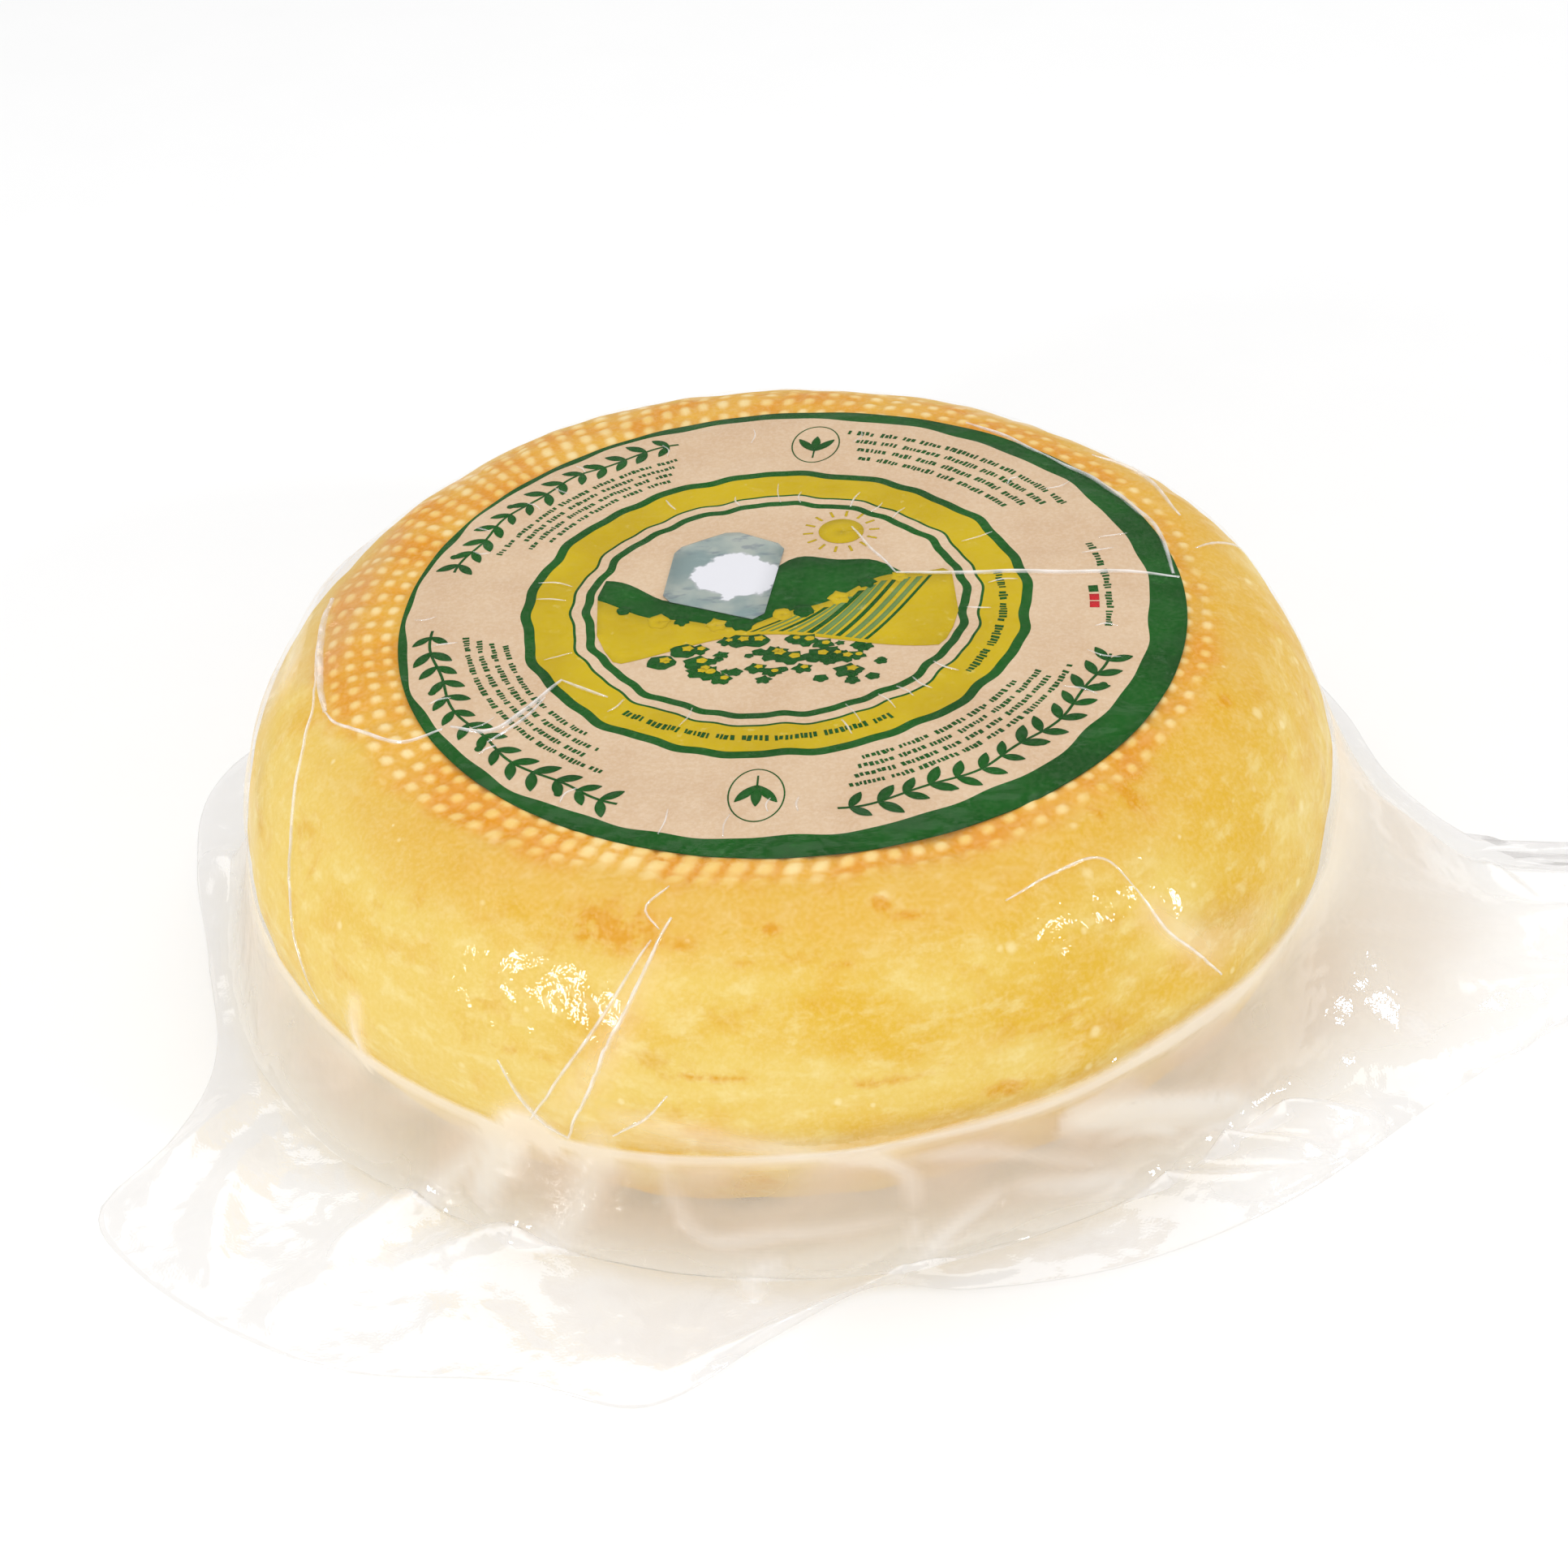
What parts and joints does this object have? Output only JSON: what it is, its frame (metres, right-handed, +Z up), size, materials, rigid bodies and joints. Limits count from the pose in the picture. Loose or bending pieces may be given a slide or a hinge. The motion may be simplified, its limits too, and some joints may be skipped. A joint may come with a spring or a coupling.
{
  "type": "vacuum-packed pecorino wheel",
  "caption": "Round wheel of young pecorino with a woven imprint on its rim and a printed paper disc on top, sealed in a clear vacuum bag whose skirt lies on the table.",
  "frame": {"origin": "on the floor under the middle of the wheel, on the wheel's axis", "axes": "+Z up along the wheel's axis; -Y towards the front of the pack as pictured; +X towards the gathered mouth of the bag"},
  "size_m": [0.2955, 0.2408, 0.0646],
  "materials": {
    "rind": "smooth young rind, pale golden yellow with orange on the rim, under film",
    "printed_paper": "thin cream paper with green and yellow print",
    "sticker": "small greyish white tape",
    "clear_film": "clear glossy vacuum film, creased"
  },
  "bodies": {
    "root": {"cheese_wheel": "rind", "round_label": "printed_paper", "date_sticker": "sticker", "vacuum_bag": "clear_film"}
  },
  "joints": []
}
